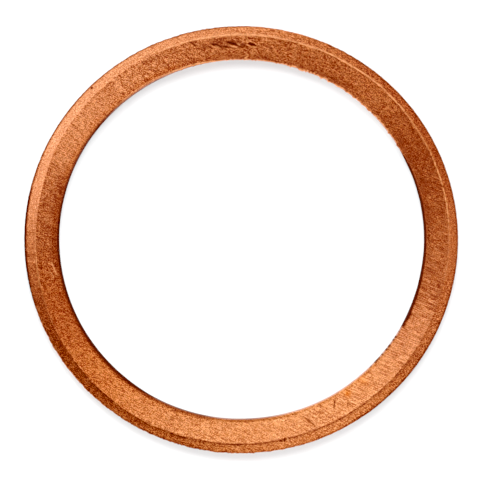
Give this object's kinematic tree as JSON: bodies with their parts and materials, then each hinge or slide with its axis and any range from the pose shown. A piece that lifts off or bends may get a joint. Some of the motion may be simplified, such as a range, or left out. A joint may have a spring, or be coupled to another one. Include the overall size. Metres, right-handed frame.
{
  "type": "sump plug washer",
  "caption": "Flat copper sealing ring with a bevelled outer edge, laid under the head of an oil sump's drain plug and crushed to seal it.",
  "frame": {"origin": "centre of the bore at the base face", "axes": "+Z along the bore axis, from the base face up to the bevelled face"},
  "size_m": [0.0288, 0.0288, 0.002],
  "materials": {
    "copper": "dull lapped copper, scratched one way, darker on its sheared walls"
  },
  "bodies": {
    "root": {"washer": "copper"}
  },
  "joints": []
}
